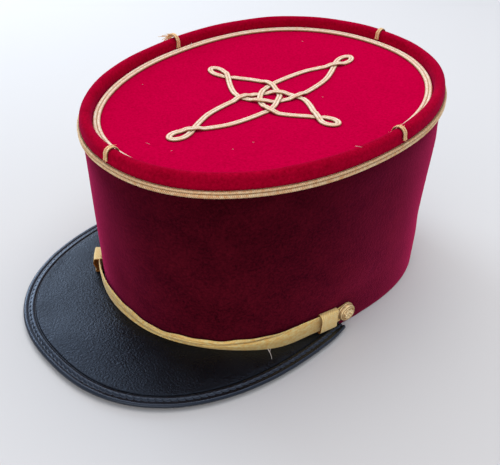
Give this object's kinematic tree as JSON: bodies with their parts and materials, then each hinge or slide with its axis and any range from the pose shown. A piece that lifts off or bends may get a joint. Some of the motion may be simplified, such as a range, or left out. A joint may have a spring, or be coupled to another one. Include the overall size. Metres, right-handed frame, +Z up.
{
  "type": "kepi cap",
  "caption": "Stiff kepi: dark red velvet side, sunken crimson top with a gold braid knot, gold outer braid, black leather peak and gold chin strap on side buttons.",
  "frame": {"origin": "bottom centre of the whole cap's box, on the surface that the crown's bottom edge stands on", "axes": "+Z up; -Y is where the peak points, +Y the back; +X is the wearer's left"},
  "size_m": [0.1746, 0.257, 0.1243],
  "materials": {
    "velvet": "matt dark crimson velvet with a magenta sheen at grazing angles",
    "crimson_cloth": "matt crimson wool cloth",
    "gold_braid": "woven gold-thread braid, satin",
    "gold_lace": "flat woven gold lace, satin",
    "peak_leather": "black, fine grain, semi-gloss",
    "binding_leather": "black, glossy, with a milled channel",
    "button_brass": "gilt, embossed with a plain rosette"
  },
  "bodies": {
    "root": {"crown_side": "velvet", "rim_roll": "crimson_cloth", "top_disc": "crimson_cloth", "outer_braid": "gold_braid", "inner_braid": "gold_braid", "rim_tab_front": "gold_braid", "rim_tab_back": "gold_braid", "rim_tab_left": "gold_braid", "rim_tab_right": "gold_braid", "top_knot": "gold_braid", "peak": "peak_leather", "peak_binding": "binding_leather", "chin_strap": "gold_lace", "strap_keeper_left": "gold_lace", "strap_keeper_right": "gold_lace", "side_button_left": "button_brass", "side_button_right": "button_brass"}
  },
  "joints": []
}
